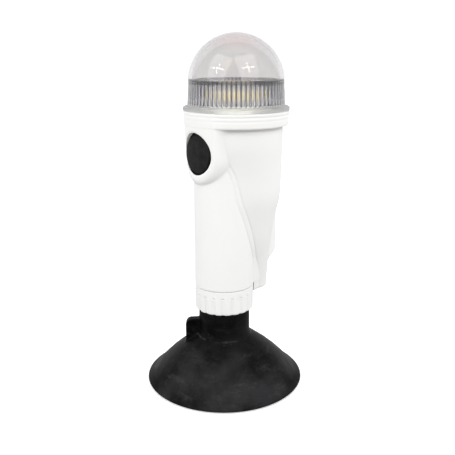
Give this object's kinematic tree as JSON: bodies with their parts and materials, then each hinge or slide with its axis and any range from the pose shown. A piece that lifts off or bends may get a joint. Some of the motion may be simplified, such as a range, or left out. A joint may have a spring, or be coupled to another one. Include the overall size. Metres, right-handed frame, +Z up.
{
  "type": "navigation light",
  "caption": "Portable battery navigation light: ribbed clear dome on a tapered white housing with a push button, screwed onto a black suction base.",
  "frame": {"origin": "centre of the suction cup's rim, on the surface that the light stands on", "axes": "+Z up along the battery tube; -Y towards the push button; +Y towards the housing's stiffening fin"},
  "size_m": [0.103, 0.103, 0.2231],
  "materials": {
    "white_plastic": "satin moulded white plastic",
    "clear_plastic": "clear polished plastic, ribbed inside its upright band",
    "black_rubber": "matt black rubber with a dusty bloom",
    "seal_rubber": "plain seal rubber",
    "black_plastic": "moulded black plastic",
    "steel": "plain stainless steel",
    "brass": "plated brass strip",
    "board_white": "white solder mask on glass-fibre board",
    "led_yellow": "phosphor-coated emitter",
    "battery_sleeve": null,
    "wire_red": "insulated lead",
    "wire_black": "insulated lead",
    "wire_white": "insulated lead"
  },
  "bodies": {
    "base": {"suction_cup": "black_rubber", "base_stud": "steel", "base_washer": "steel", "base_nut": "steel", "end_cap": "white_plastic", "spring_seat": "steel", "cap_spring": "steel"},
    "seal": {"end_cap_seal": "seal_rubber"},
    "light": {"battery_1": "battery_sleeve", "battery_2": "battery_sleeve", "battery_3": "battery_sleeve", "battery_carrier": "black_plastic", "board_screw_1": "steel", "board_screw_2": "steel", "board_screw_3": "steel", "cell_link_bottom": "brass", "cell_link_top": "brass", "contact_plate": "board_white", "driver_chip": "black_plastic", "housing": "white_plastic", "led_1": "led_yellow", "led_2": "led_yellow", "led_3": "led_yellow", "led_4": "led_yellow", "led_5": "led_yellow", "led_6": "led_yellow", "led_board": "board_white", "led_post": "board_white", "lens": "clear_plastic", "lens_seal": "seal_rubber", "negative_terminal": "brass", "positive_terminal": "brass", "post_cap": "white_plastic", "resistor": "black_plastic", "switch_body": "black_plastic", "switch_nut": "steel", "switch_seal": "seal_rubber", "switch_terminal_left": "brass", "switch_terminal_right": "brass", "wire_battery_to_board": "wire_black", "wire_battery_to_switch": "wire_red", "wire_switch_to_board": "wire_white"},
    "button": {"button_cap": "black_rubber", "switch_plunger": "black_plastic"}
  },
  "joints": [
    {"name": "cap_turn", "type": "hinge", "parent": "base", "child": "seal", "pos_m": [0, 0, 0.0657], "axis": [0, 0, 1], "range_deg": [0, 1080]},
    {"name": "cap_travel", "type": "slide", "parent": "seal", "child": "light", "axis": [0, 0, 1], "range_m": [0, 0.009]},
    {"name": "button_press", "type": "slide", "parent": "light", "child": "button", "axis": [0, 1, 0], "range_m": [0, 0.0018], "stiffness_N_per_m": 1500}
  ],
  "couplings": [
    {"joint": "cap_travel", "follows": "cap_turn", "m_per_rad": 0.00047746}
  ]
}
